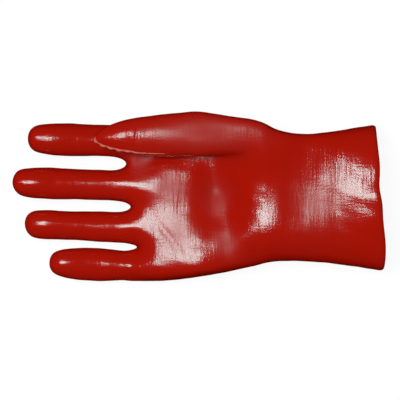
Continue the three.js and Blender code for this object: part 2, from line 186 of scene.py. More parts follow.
@dataclass
class GloveForm:
    """The glove's smooth form: sizes and tables as in the part's source, in millimetres.

    It is drawn as a coarse cage of quads, made of rings round the cuff and palm and of loops round the
    fingers and thumb. The fingers run from the index finger to the little finger.
    """

    wall: float = 1.5
    # The cuff and wrist.
    cuff_length: float = 55.5
    cuff_width: float = 105.0
    cuff_height: float = 46.0
    rim_slant: float = 7.0
    wrist_width: float = 92.0
    wrist_height: float = 40.0
    wrist_lift: float = 1.0
    # The palm and knuckles.
    palm_length: float = 123.0
    knuckle_height: float = 25.0
    knuckle_offset: float = -4.0
    knuckle_rise: float = 1.1
    thenar_height: float = 45.0
    thenar_bulge: float = 10.5
    thenar_stand: float = 11.0
    # The fingers and the webs between them.
    finger_length: float = 87.2
    finger_width: float = 23.0
    finger_height: float = 21.0
    finger_gap: float = 9.4
    finger_lift: float = 1.2
    tip_lean: float = 3.0
    tip_rise: float = 5.5
    crotch_shift: float = 3.8
    web_depth: float = 4.5
    web_drop: float = 0.18
    web_lift: float = 0.1
    # The thumb.
    thumb_length: float = 90.0
    thumb_width: float = 31.5
    thumb_height: float = 23.0
    thumb_side: float = 44.8
    # How far the underside is pressed flat, and how softly that ends.
    press: float = 1.0
    press_edge: float = 0.8
    # How full the rings are, and how quickly they rise towards the thumb's side.
    top_power: float = 2.45
    back_power: float = 5.0
    rim_power: float = 3.4
    stand_power: float = 2.0
    back_stand_power: float = 16.0
    widest: float = 0.46
    # How finely the cage is drawn, fitted and split.
    ring_count: int = 20
    loop_count: int = 8
    fit_rounds: int = 2
    solid_rounds: int = 1
    fingers: tuple[Finger, ...] = (
        Finger(0.876, 1.0, 0.975, 1.0, -1.25, 0.63, 0.75, (
            Girth(0.1, 1.04, 1.03),
            Girth(0.29, 0.99, 0.98),
            Girth(0.47, 1.02, 0.99),
            Girth(0.64, 1.04, 1.0),
        )),
        Finger(1.0, 1.0, 1.0, 0.83, -0.4, 0.87, 1.0, (
            Girth(0.09, 1.0, 1.04),
            Girth(0.27, 0.97, 0.99),
            Girth(0.46, 0.95, 0.96),
            Girth(0.66, 1.0, 0.99),
        )),
        Finger(0.901, 0.978, 0.975, 0.575, 0.75, 1.0, 0.875, (
            Girth(0.1, 1.02, 1.04),
            Girth(0.27, 1.0, 1.0),
            Girth(0.46, 0.95, 0.97),
            Girth(0.66, 0.93, 0.97),
        )),
        Finger(0.695, 0.957, 0.925, 0.0, 0.0, 0.8, 0.75, (
            Girth(0.12, 0.99, 1.05),
            Girth(0.3, 1.07, 1.02),
            Girth(0.48, 1.09, 1.0),
            Girth(0.66, 1.05, 0.99),
        )),
    )
    tip_rows: tuple[Girth, ...] = (Girth(0.52, 0.93, 0.93), Girth(0.17, 0.68, 0.68))
    thumb_rows: tuple[ThumbRow, ...] = (
        ThumbRow(0.1, 1.0, 0.88, 0.03, 0.03),
        ThumbRow(0.27, 1.0, 0.93, 0.025, 0.09),
        ThumbRow(0.46, 0.96, 0.86, 0.0, 0.17),
        ThumbRow(0.67, 0.84, 0.72, -0.02, 0.26),
        ThumbRow(0.83, 0.63, 0.56, -0.03, 0.35),
        ThumbRow(0.94, 0.36, 0.34, -0.05, 0.46),
    )
    thumb_tip: tuple[float, float] = (-0.07, 0.6)
    palm_rows: tuple[PalmRow, ...] = (
        PalmRow(0.0, 0.0, 0.0, 0.0, 0.0, 0.95, 1.0),
        PalmRow(0.09, 0.1, -0.02, 0.02, 0.05, 1.25, 0.8),
        PalmRow(0.19, 0.4, 0.05, 0.08, 0.2, 1.45, 0.4),
        PalmRow(0.3, 0.9, 0.27, 0.2, 0.42, 1.75, 0.1, thumb=True),
        PalmRow(0.49, 1.1, 0.62, 0.46, 0.0, 0.2, 0.0),
        PalmRow(0.62, 1.05, 0.8, 0.6, 0.0, 0.0, 0.0),
        PalmRow(0.75, 1.0, 0.94, 0.75, 0.0, 0.0, 0.0),
        PalmRow(0.87, 1.0, 1.0, 0.9, 0.0, 0.0, 0.0),
    )
    cuff_rows: tuple[CuffRow, ...] = (
        CuffRow(1.0, 1.0, 1.0, 0.0),
        CuffRow(0.8, 0.74, 0.8, 0.18),
        CuffRow(0.55, 0.45, 0.5, 0.5),
        CuffRow(0.27, 0.13, 0.2, 0.78),
    )
    mounds: tuple[Mound, ...] = (
        Mound(0.47, -0.06, 0.13, 0.48, -0.26),
        Mound(0.38, 0.1, 0.43, 0.37, -0.18),
        Mound(0.56, 0.49, 0.49, 0.3, -0.14),
        Mound(0.54, -0.98, 0.13, 0.34, 0.2),
        Mound(0.28, 0.36, 0.17, 0.61, 0.25),
        Mound(-0.43, -0.07, 0.13, 0.8, 0.07),
        Mound(0.29, -0.54, 0.42, 0.2, 0.07),
        Mound(0.79, -0.94, 0.29, 0.31, 0.26),
        Mound(0.83, 0.21, 0.37, 0.36, 0.12),
        Mound(0.7, 0.1, 0.41, 0.37, -0.06),
    )
    # What is drawn.
    points: list[np.ndarray] = field(default_factory=list)
    faces: list[Face] = field(default_factory=list)
    on_thumb: list[float] = field(default_factory=list)
    centres: list[float] = field(default_factory=list)
    columns: list[float] = field(default_factory=list)
    cage: np.ndarray = field(init=False)
    shift: np.ndarray = field(default_factory=lambda: np.zeros(3))

    def __post_init__(self) -> None:
        """Draws the cage, fits it to its sections and finds the shift that centres the part."""
        self._place_knuckles()
        self._draw_cage()
        self.cage = self._fit(self.points)
        solid = self.smooth(self.solid_rounds)
        low, high = solid.points.min(0), solid.points.max(0)
        self.shift = np.array([(low[0] + high[0]) / 2, (low[1] + high[1]) / 2, 0.0])

    @property
    def half(self) -> float:
        """Half the width of the knuckle row."""
        return self.finger_sum / 2

    @property
    def finger_sum(self) -> float:
        """The width of the four fingers and the gaps between them."""
        return sum(f.width * self.finger_width + f.web * self.finger_gap for f in self.fingers)

    def _place_knuckles(self) -> None:
        """Sets each finger's centre line and the knuckle row's columns, as Y."""
        y = self.knuckle_offset + self.half
        corner = math.cos(2 * math.pi / self.ring_count)
        self.columns = [self.knuckle_offset + self.half * corner]
        for finger in self.fingers:
            width = finger.width * self.finger_width
            web = finger.web * self.finger_gap
            self.centres.append(y - width / 2)
            self.columns += [y - width / 2, y - width - web / 2]
            y -= width + web
        self.columns[-1] = self.knuckle_offset - self.half * corner

    def _share(self, c: int, knuckle: float) -> float:
        """A ring point's share of the half width: from even angles on the cuff to the fingers' own.

        Args:
            c: The point's number round the ring.
            knuckle: 0 on the cuff and 1 on the knuckle row.

        Returns:
            The share, from -1 to 1.
        """
        even = math.cos(2 * math.pi / self.ring_count * c)
        top = min(c, self.ring_count - c)
        if top in (0, self.ring_count // 2):
            return even
        own = (self.columns[top - 1] - self.knuckle_offset) / self.half
        return lerp(even, own, knuckle)

    def _ring(self, x: float, high: float, low: float, bottom: float, top: float, knuckle: float,
              slant: float = 0.0, stand: float = 0.0, back: float | None = None) -> list[np.ndarray]:
        """One ring of the palm or cuff, from the thumb's side over the palm and back under the hand.

        Args:
            x: Where it lies along the glove.
            high: Its edge on the thumb's side.
            low: Its other edge.
            bottom: Its lowest height.
            top: Its highest.
            knuckle: How far its points follow the fingers, from 0 to 1.
            slant: How much further along it lies at the edge that is away from the thumb.
            stand: How far its edge on the thumb's side is raised.
            back: The fullness of its underside.

        Returns:
            Its points.
        """
        back = self.back_power if back is None else back
        centre, half = (high + low) / 2, (high - low) / 2
        middle = lerp(bottom, top, self.widest)
        ring = []
        for c in range(self.ring_count):
            u = self._share(c, knuckle)
            if c <= self.ring_count // 2:
                z = middle + (top - middle) * crown(u, self.top_power)
                power = self.stand_power
            else:
                z = middle - (middle - bottom) * crown(u, back)
                power = self.back_stand_power
            raised = stand * max(0.0, u) ** power
            ring.append(np.array([x - slant * u, centre + half * u, z + raised]))
        return ring

    def _palm_ring(self, row: PalmRow) -> list[np.ndarray]:
        """One ring of the palm, with its mounds and hollows.

        Args:
            row: Its section.

        Returns:
            Its points.
        """
        offset, half = self.knuckle_offset, self.half
        high = lerp(self.wrist_width / 2, offset + half, row.radial) + row.bulge * self.thenar_bulge
        low = lerp(-self.wrist_width / 2, offset - half, row.ulnar)
        bottom = lerp(-self.press, self.wrist_lift, row.lift)
        top = bottom + lerp(self.wrist_height, self.knuckle_height, row.height)
        ring = self._ring(-row.along * self.palm_length, high, low, bottom, top, row.along,
                          stand=row.stand * self.thenar_stand)
        return self._relief(ring)

    def _relief(self, ring: list[np.ndarray]) -> list[np.ndarray]:
        """Lifts a ring's upper points by the mounds and hollows.

        Args:
            ring: Its points.

        Returns:
            The same points.
        """
        for c in range(1, self.ring_count // 2):
            for m in self.mounds:
                dx = (-ring[c][0] / self.palm_length - m.along) / m.reach
                dy = (ring[c][1] / self.half - m.side) / m.spread
                ring[c][2] += m.lift * self.knuckle_height * math.exp(-dx * dx - dy * dy)
        return ring

    def _cuff_ring(self, row: CuffRow) -> list[np.ndarray]:
        """One ring of the cuff.

        Args:
            row: Its section.

        Returns:
            Its points.
        """
        width = lerp(self.wrist_width, self.cuff_width, row.width)
        bottom = lerp(self.wrist_lift, -self.press, row.height)
        top = bottom + lerp(self.wrist_height, self.cuff_height, row.height)
        ring = self._ring(row.along * self.cuff_length, width / 2, -width / 2, bottom, top, 0.0,
                          slant=self.rim_slant / 2 * row.along, stand=row.stand * self.thenar_stand,
                          back=lerp(self.back_power, self.rim_power, row.along))
        return self._relief(ring)

    def _add(self, ring: Iterable[np.ndarray], on_thumb: float = 0.0) -> list[int]:
        """Takes points into the cage.

        Args:
            ring: The points.
            on_thumb: 1 for points of the thumb.

        Returns:
            Their numbers.
        """
        numbers = []
        for point in ring:
            numbers.append(len(self.points))
            self.points.append(np.asarray(point, float))
            self.on_thumb.append(on_thumb)
        return numbers

    def _bridge(self, near: Sequence[int], far: Sequence[int], closed: bool = True) -> None:
        """Makes faces between two rings or loops.

        Args:
            near: The numbers of the points of the one that is nearer the cuff.
            far: Those of the other.
            closed: Whether the last points join the first.
        """
        for i in range(len(near) if closed else len(near) - 1):
            j = (i + 1) % len(near)
            self.faces.append((near[i], far[i], far[j], near[j]))

    def _cap(self, loop: Sequence[int], tip: np.ndarray, on_thumb: float = 0.0) -> None:
        """Closes a loop over a tip.

        Args:
            loop: The numbers of its points.
            tip: The tip's place.
            on_thumb: 1 for the thumb's tip.
        """
        end = self._add([tip], on_thumb)[0]
        for k in range(0, len(loop), 2):
            self.faces.append((loop[k], end, loop[(k + 2) % len(loop)], loop[k + 1]))

    def _loop(self, x: float, y: float, bottom: float, top: float, width: float, turn: float = 0.0,
              slant: Callable[[float], float] = lambda across: 0.0) -> list[np.ndarray]:
        """One loop of a finger or the thumb, from its thumb side over the top.

        Args:
            x: Where it lies along the glove.
            y: Its centre line.
            bottom: Its lowest height.
            top: Its highest.
            width: Its width.
            turn: The angle of its first point, in radians.
            slant: Gives how far a point lies behind the loop, from its place across.

        Returns:
            Its points.
        """
        middle = (bottom + top) / 2
        made = []
        for k in range(self.loop_count):
            angle = 2 * math.pi / self.loop_count * k + turn
            across = width / 2 * math.cos(angle)
            made.append(np.array([x + slant(across), y + across, middle + (top - middle) * math.sin(angle)]))
        return made

    def _draw_finger(self, i: int, knuckles: Sequence[int], webs: Sequence[int]) -> None:
        """Draws one finger out of the knuckle row.

        Args:
            i: The finger's number.
            knuckles: The numbers of the knuckle row's points.
            webs: Those of the webs' middle points.
        """
        finger = self.fingers[i]
        full_width = finger.width * self.finger_width
        full_height = finger.height * self.finger_height
        length = finger.length * self.finger_length
        lean, rise = finger.lean * self.tip_lean, finger.rise * self.tip_rise
        before = self.fingers[i - 1].crotch * self.crotch_shift if i else 0.0
        after = finger.crotch * self.crotch_shift
        c, count = 2 * i + 1, self.ring_count
        last_one = i == len(self.fingers) - 1
        loop = [
            knuckles[0] if i == 0 else webs[i - 1],
            *knuckles[c:c + 3],
            knuckles[count // 2] if last_one else webs[i],
            *knuckles[count - c - 2:count - c + 1],
        ]
        tips = [Girth(1 - t.along * full_width / length, t.width, t.height) for t in self.tip_rows]
        for g in (*finger.girths, *tips):
            width, height = g.width * full_width, g.height * full_height
            middle = full_height / 2 + self.finger_lift + rise * g.along ** 2
            behind = (1 - g.along) ** 2
            following = self._add(self._loop(
                -self.palm_length - g.along * length, self.centres[i] + lean * g.along,
                middle - height / 2, middle + height / 2, width,
                slant=lambda across, b=behind, w=width: b * lerp(after, before, 0.5 + across / w)))
            self._bridge(loop, following)
            loop = following
        self._cap(loop, np.array([-self.palm_length - length, self.centres[i] + lean,
                                  full_height / 2 + self.finger_lift + rise]))

    def _draw_thumb(self, loop: Sequence[int], crotch_x: float) -> None:
        """Draws the thumb out of the loop of points that its root leaves open.

        Args:
            loop: The numbers of those points.
            crotch_x: Where the thumb's crotch lies along the glove.
        """
        for row in self.thumb_rows:
            top = self.thenar_height - row.top * self.thumb_height
            following = self._add(self._loop(
                crotch_x - row.along * self.thumb_length, self.thumb_side + row.side * self.thumb_width,
                top - row.height * self.thumb_height, top, row.width * self.thumb_width,
                turn=math.pi / self.loop_count), 1.0)
            self._bridge(loop, following)
            loop = following
        side, drop = self.thumb_tip
        self._cap(loop, np.array([crotch_x - self.thumb_length, self.thumb_side + side * self.thumb_width,
                                  self.thenar_height - drop * self.thumb_height]), 1.0)

    def _draw_knuckles(self) -> tuple[list[int], list[int]]:
        """Draws the knuckle row, where the palm splits into the fingers.

        Returns:
            The numbers of its points, and of the middle point of each web.
        """
        offset, half, count = self.knuckle_offset, self.half, self.ring_count
        ring = self._ring(-self.palm_length, offset + half, offset - half, -self.press,
                          self.knuckle_height - self.press, 1.0)
        webs = []
        for i, finger in enumerate(self.fingers):
            c = 2 * i + 2
            under = count - c
            ring[c][2] = finger.height * self.finger_height * self.knuckle_rise + self.finger_lift
            if i == len(self.fingers) - 1:
                continue
            x = -self.palm_length + finger.crotch * self.crotch_shift
            for w in (c + 1, under - 1):
                ring[w][0] = x + self.web_depth
            ring[c + 1][2] -= self.web_drop * self.knuckle_height
            ring[under - 1][2] += self.web_lift * self.knuckle_height
            webs.append(np.array([x, ring[c + 1][1], (ring[c + 1][2] + ring[under - 1][2]) / 2]))
        return self._add(ring), self._add(webs)

    def _draw_cage(self) -> None:
        """Draws the whole cage of quads, from the rim to the tips."""
        rings = [self._add(self._cuff_ring(row)) for row in self.cuff_rows]
        thenar = len(rings) + [row.thumb for row in self.palm_rows].index(True)
        rings += [self._add(self._palm_ring(row)) for row in self.palm_rows]
        knuckles, webs = self._draw_knuckles()
        rings.append(knuckles)
        for i in range(len(rings) - 1):
            near, far = rings[i], rings[i + 1]
            if i != thenar:
                self._bridge(near, far)
                continue
            self._bridge(near[3:], far[3:], closed=False)
            self._bridge([near[-1], near[0]], [far[-1], far[0]], closed=False)
            self._draw_thumb([*near[:4], *reversed(far[:4])], self.points[far[2]][0])
        for i in range(len(self.fingers)):
            self._draw_finger(i, knuckles, webs)

    def _fit(self, wanted: Sequence[np.ndarray]) -> np.ndarray:
        """Moves the cage so that its smooth surface passes close to the points that were drawn.

        The place of a cage point on the smooth surface is a weighted mean of the point and its neighbours,
        with the weights of a smooth surface of quads inside it and of a cubic curve on its open edge.

        Args:
            wanted: The points that were drawn.

        Returns:
            The cage's points.
        """
        count = len(wanted)
        edges: list[Counter[int]] = [Counter() for _ in range(count)]
        across: list[list[int]] = [[] for _ in range(count)]
        for quad in self.faces:
            for i, v in enumerate(quad):
                w = quad[(i + 1) % 4]
                across[v].append(quad[(i + 2) % 4])
                edges[v][w] += 1
                edges[w][v] += 1
        target = np.array(wanted)
        cage = target.copy()
        for _ in range(self.fit_rounds):
            limit = np.empty_like(cage)
            for v in range(count):
                rim = [w for w, uses in edges[v].items() if uses == 1]
                if rim:
                    limit[v] = (cage[v] * 4 + cage[rim].sum(0)) / 6
                    continue
                n = len(edges[v])
                near = cage[list(edges[v])].sum(0) * 4
                limit[v] = (near + cage[across[v]].sum(0) + cage[v] * n * n) / (n * (n + 5))
            cage += target - limit
        return cage

    def smooth(self, rounds: int) -> Skin:
        """The glove's smooth surface, drawn with a given number of subdivision rounds.

        Args:
            rounds: How often each face of the cage is split in four.

        Returns:
            The surface, in the part's frame once the shift is known.
        """
        mesh = bpy.data.meshes.new("cage")
        mesh.from_pydata([tuple(p) for p in self.cage], [], self.faces)
        mark = mesh.attributes.new("thumb", "FLOAT", "POINT")
        mark.data.foreach_set("value", np.array(self.on_thumb, np.float32))
        holder = bpy.data.objects.new("cage", mesh)
        bpy.context.scene.collection.objects.link(holder)
        split = holder.modifiers.new("smooth", "SUBSURF")
        split.levels = split.render_levels = rounds
        split.use_limit_surface = True
        split.boundary_smooth = "ALL"
        split.use_custom_normals = False
        done = holder.evaluated_get(bpy.context.evaluated_depsgraph_get()).to_mesh()
        points = np.empty(len(done.vertices) * 3)
        done.vertices.foreach_get("co", points)
        points = points.reshape(-1, 3) - self.shift
        quads = np.empty(len(done.polygons) * 4, int)
        done.polygons.foreach_get("vertices", quads)
        quads = quads.reshape(-1, 4)
        thumb = np.zeros(len(points), np.float32)
        done.attributes["thumb"].data.foreach_get("value", thumb)
        bpy.data.objects.remove(holder)
        bpy.data.meshes.remove(mesh)
        rim = np.zeros(len(points), bool)
        rim[open_edges(quads)] = True
        return Skin(points, quads, quad_normals(points, quads), thumb.astype(float), rim)

    def pressed(self, z: np.ndarray, floor: float) -> np.ndarray:
        """Heights once the surface below has pressed them flat.

        Args:
            z: Heights.
            floor: The height that they are pressed to.

        Returns:
            The new heights.
        """
        h = z - floor
        soft = (np.maximum(h + self.press_edge, 0) ** 2) / (4 * self.press_edge)
        return np.where(h >= self.press_edge, z, floor + soft)


def open_edges(quads: np.ndarray) -> np.ndarray:
    """The edges that belong to one face only, each in its face's own direction.

    Args:
        quads: The faces.

    Returns:
        Two point numbers for each edge.
    """
    edges = np.concatenate([quads[:, [i, (i + 1) % 4]] for i in range(4)])
    _, first, uses = np.unique(np.sort(edges, axis=1), axis=0, return_index=True, return_counts=True)
    return edges[first[uses == 1]]


def quad_normals(points: np.ndarray, quads: np.ndarray) -> np.ndarray:
    """The outward direction at each point of a surface of quads.

    Args:
        points: Its points.
        quads: Its faces.

    Returns:
        A direction of length 1 for each point.
    """
    a, b, c, d = (points[quads[:, i]] for i in range(4))
    flat = np.cross(c - a, d - b)
    found = np.zeros_like(points)
    for i in range(4):
        np.add.at(found, quads[:, i], flat)
    return found / np.maximum(np.linalg.norm(found, axis=1, keepdims=True), TINY)


class Place(Enum):
    """Which part of the glove's upper side a fold or dent is on."""

    HAND = "hand"
    THUMB = "thumb"

    def share(self, skin: Skin) -> np.ndarray:
        """How far each point belongs to this part's upper side, from 0 to 1."""
        upper = np.clip(skin.normals[:, 2] * UPPER_GAIN, 0, 1)
        return upper * (skin.thumb if self is Place.THUMB else 1 - skin.thumb)


class Profile(Enum):
    """How a fold looks when it is cut across."""

    VALLEY = "valley"
    STEP = "step"


@dataclass(frozen=True)
class Fold:
    """A crease, ridge or step of the coat along a line on the upper side, in millimetres.

    Height is positive for a ridge. A step is high on the left of its line.
    """

    line: tuple[tuple[float, float], ...]
    width: float
    height: float
    place: Place = Place.HAND
    profile: Profile = Profile.VALLEY

    def lift(self, skin: Skin) -> np.ndarray:
        """How far each point of the surface moves outwards.

        Args:
            skin: The surface.

        Returns:
            A distance for each point, in millimetres.
        """
        at = skin.points[:, :2]
        line = np.array(self.line, float)
        best = np.full(len(at), np.inf)
        side = np.zeros(len(at))
        share = np.zeros(len(at))
        lengths = np.linalg.norm(np.diff(line, axis=0), axis=1)
        total, run = lengths.sum(), 0.0
        for a, b, length in zip(line[:-1], line[1:], lengths):
            way = (b - a) / length
            t = np.clip((at - a) @ way, 0, length)
            off = at - (a + t[:, None] * way)
            distance = np.linalg.norm(off, axis=1)
            nearer = distance < best
            best = np.where(nearer, distance, best)
            side = np.where(nearer, np.sign(way[0] * off[:, 1] - way[1] * off[:, 0]), side)
            share = np.where(nearer, (run + t) / total, share)
            run += length
        fade = np.sqrt(np.sin(np.pi * np.clip(share, 0, 1)))
        reach = best / self.width
        if self.profile is Profile.VALLEY:
            shape = np.exp(-(reach**2))
        else:
            shape = side * reach * np.exp((1 - reach**2) / 2)
        return self.height * shape * fade * self.place.share(skin)


@dataclass(frozen=True)
class Dent:
    """A shallow dent or swell of the hand's upper side, in millimetres.

    Reach is along the glove and spread across it. Height is positive for a swell.
    """

    x: float
    y: float
    reach: float
    spread: float
    height: float

    def lift(self, skin: Skin) -> np.ndarray:
        """How far each point of the surface moves outwards.

        Args:
            skin: The surface.

        Returns:
            A distance for each point, in millimetres.
        """
        along = (skin.points[:, 0] - self.x) / self.reach
        across = (skin.points[:, 1] - self.y) / self.spread
        return self.height * np.exp(-(along**2) - across**2) * Place.HAND.share(skin)


@dataclass(frozen=True)
class Ripple:
    """Faint waves all over the coat, as a hand-dipped coat has, with their height in millimetres.

    They show where two waves cross. A wave is its turn in radians for each millimetre along X, Y and Z,
    and then its start.
    """

    height: float
    waves: tuple[tuple[float, float, float, float], ...]

    def lift(self, skin: Skin) -> np.ndarray:
        """How far each point of the surface moves outwards.

        Args:
            skin: The surface.

        Returns:
            A distance for each point, in millimetres.
        """
        lifted = np.full(len(skin.points), self.height)
        for *turn, start in self.waves:
            lifted *= np.sin(skin.points @ np.array(turn) + start)
        return lifted


@dataclass(frozen=True)
class RimWave:
    """A wave round the cuff's rim: its depth in millimetres, how often it comes and its start in radians."""

    depth: float
    count: int
    start: float

    def at(self, angle: np.ndarray) -> np.ndarray:
        """How far it reaches at each angle round the rim."""
        return self.depth * np.sin(self.count * angle + self.start)


@dataclass
class Coat:
    """The coloured plastic coat: one smooth skin with the folds of the real one, given a thickness.

    Close to the cuff's rim, from rim_start over rim_reach, its edge runs uneven along the glove, swells
    outwards and rolls in.
    """

    form: GloveForm
    rounds: int = 3
    thickness: float = 0.9
    rim_start: float = 92.0
    rim_reach: float = 40.0
    rim_axis: float = 20.0
    rim_runs: tuple[RimWave, ...] = (RimWave(0.7, 3, 0.6), RimWave(0.4, 7, 1.9))
    rim_swells: tuple[RimWave, ...] = (RimWave(0.6, 4, 0.9), RimWave(0.4, 9, 0.0))
    roll_reach: float = 2.6
    roll_depth: float = 1.2
    ripples: tuple[Ripple, ...] = (
        Ripple(0.12, ((0.19, 0.07, 0.0, 1.3), (0.11, -0.23, 0.0, 0.4))),
        Ripple(0.072, ((0.37, 0.29, 0.21, 0.0), (-0.17, 0.31, 0.0, 2.1))),
    )
    folds: tuple[Fold, ...] = (
        # The crease in the palm, and the step across the thumb's end.
        Fold(((-33.0, -15.0), (-27.6, -20.3), (-19.0, -31.0), (-11.0, -43.0)), 1.7, -0.42),
        Fold(((-44.5, 37.0), (-45.5, 46.0), (-44.0, 56.0)), 2.4, 0.5, Place.THUMB, Profile.STEP),
    )
    dents: tuple[Dent, ...] = (
        # The palm, from the knuckles to the heel of the hand.
        Dent(-36.0, 27.0, 8.0, 8.0, -1.1),
        Dent(-31.0, 30.0, 31.5, 6.6, -1.56),
        Dent(-30.0, -28.0, 12.5, 6.5, 0.43),
        Dent(-15.0, -21.0, 11.9, 14.2, 1.09),
        Dent(-13.0, -27.0, 19.4, 30.2, -1.60),
        Dent(4.0, -10.0, 18.2, 25.8, 1.44),
        Dent(12.0, 4.0, 6.5, 6.5, -1.23),
        Dent(12.0, 10.0, 7.9, 20.0, -1.56),
        Dent(22.0, -32.0, 6.5, 34.0, -1.60),
        # The heel of the hand and the wrist.
        Dent(37.0, 0.0, 8.5, 9.6, 1.51),
        Dent(45.0, -29.0, 18.0, 20.7, 1.34),
        Dent(57.0, -2.0, 7.7, 11.8, 1.05),
        # The cuff.
        Dent(77.0, 6.0, 22.5, 33.9, -1.40),
        Dent(84.0, 4.0, 34.0, 22.0, 0.36),
        Dent(89.0, -6.0, 17.4, 8.0, -0.47),
        Dent(102.0, -17.0, 9.1, 13.1, -0.95),
        Dent(104.0, 26.0, 17.2, 18.8, -0.99),
        Dent(118.0, 6.0, 9.2, 9.0, -0.15),
        # The tip of the index finger, the tip and base of the middle finger, and the last two tips.
        Dent(-104.6, 42.0, 8.5, 12.0, 0.75),
        Dent(-111.0, 42.8, 7.0, 3.6, -0.3),
        Dent(-116.6, 12.0, 8.5, 10.0, 0.75),
        Dent(-122.0, 12.5, 7.0, 3.6, -0.3),
        Dent(-61.0, 7.6, 17.0, 4.4, -0.5),
        Dent(-122.0, -18.5, 13.0, 9.0, -1.5),
        Dent(-110.0, -14.0, 12.0, 8.0, 0.5),
        Dent(-95.0, -47.0, 8.5, 10.0, 0.6),
        Dent(-101.0, -46.5, 7.0, 3.6, -0.3),
    )

    def skin(self) -> Skin:
        """The coat's outer surface, before it is pressed on what it lies on.

        Returns:
            The surface, with its folds, dents, ripples and uneven rim.
        """
        skin = self.form.smooth(self.rounds)
        lift = sum(relief.lift(skin) for relief in (*self.folds, *self.dents, *self.ripples))
        skin.points += skin.normals * lift[:, None]
        self.wave_rim(skin)
        skin.normals = quad_normals(skin.points, skin.quads)
        return skin

    def wave_rim(self, skin: Skin) -> None:
        """Lets the cut edge of the cuff run slightly uneven, and turns it in a little.

        Args:
            skin: The surface, whose points are moved.
        """
        x, y, z = skin.points.T
        near = np.clip((x - self.rim_start) / self.rim_reach, 0, 1) ** 2
        angle = np.arctan2(z - self.rim_axis, y)
        skin.points[:, 0] += near * sum(wave.at(angle) for wave in self.rim_runs)
        rim_x = np.interp(angle, angle[skin.rim], skin.points[skin.rim, 0], period=2 * np.pi)
        roll = np.clip(1 - (rim_x - skin.points[:, 0]) / self.roll_reach, 0, 1) ** 2
        push = near * sum(wave.at(angle) for wave in self.rim_swells) - self.roll_depth * roll
        skin.points += skin.normals * np.array([0.0, 1.0, 1.0]) * push[:, None]

    def build(self, finish: CoatFinish) -> tuple[bpy.types.Object, Skin]:
        """Makes the piece.

        Args:
            finish: What it is made of.

        Returns:
            The piece, and its outer surface with its real heights.
        """
        skin = self.skin()
        piece, outer = shell("coat", skin, self.form, 0.0, self.thickness)
        dress(piece, finish.build())
        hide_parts(NODE)
        return piece, outer


@dataclass
class Liner:
    """The knitted liner that is bonded inside the coat and shows at the cuff."""

    start: float = 0.7
    rounds: int = 2

    def build(self, coat: Coat, finish: KnitFinish) -> bpy.types.Object:
        """Makes the piece, from under the coat to the part's inner wall.

        Args:
            coat: The coat, whose surface it follows.
            finish: What it is made of.

        Returns:
            The piece.
        """
        skin = replace(coat, rounds=self.rounds).skin()
        piece, _ = shell("liner", skin, coat.form, self.start, coat.form.wall)
        dress(piece, finish.build())
        return piece


def shell(
    name: str, skin: Skin, form: GloveForm, near: float, far: float
) -> tuple[bpy.types.Object, Skin]:
    """A closed solid between two depths under a surface.

    Args:
        name: The piece's name.
        skin: The surface, before it is pressed.
        form: The glove's form, which knows how it is pressed.
        near: The depth of the solid's outer side, in millimetres.
        far: The depth of its inner side.

    Returns:
        The piece, and its outer side as a surface.
    """
    sides = []
    for depth in (near, far):
        moved = skin.points - skin.normals * depth
        moved[skin.rim, 0] = skin.points[skin.rim, 0]
        moved[:, 2] = form.pressed(moved[:, 2], depth)
        sides.append(moved)
    count = len(skin.points)
    start, end = open_edges(skin.quads).T
    edge = np.column_stack([end, start, start + count, end + count])
    quads = np.concatenate([skin.quads, skin.quads[:, ::-1] + count, edge])
    piece = mesh_piece(name, np.concatenate(sides) * MM, quads)
    outer = Skin(sides[0], skin.quads, quad_normals(sides[0], skin.quads), skin.thumb, skin.rim)
    return piece, outer


def mesh_piece(name: str, points: np.ndarray, faces: Iterable[Sequence[int]]) -> bpy.types.Object:
    """Makes a smooth-shaded mesh piece.

    Args:
        name: Its name.
        points: Its points, in metres.
        faces: The point numbers of each face.

    Returns:
        The piece, in the scene.
    """
    mesh = bpy.data.meshes.new(name)
    mesh.from_pydata(np.asarray(points).tolist(), [], [list(map(int, f)) for f in faces])
    mesh.validate()
    mesh.update()
    mesh.shade_smooth()
    piece = bpy.data.objects.new(name, mesh)
    bpy.context.scene.collection.objects.link(piece)
    return piece


def dress(piece: bpy.types.Object, material: bpy.types.Material) -> None:
    """Gives a piece its one material and lets it ride on the part.

    Args:
        piece: The piece.
        material: What it is made of.
    """
    piece.data.materials.clear()
    piece.data.materials.append(material)
    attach(piece, "root")


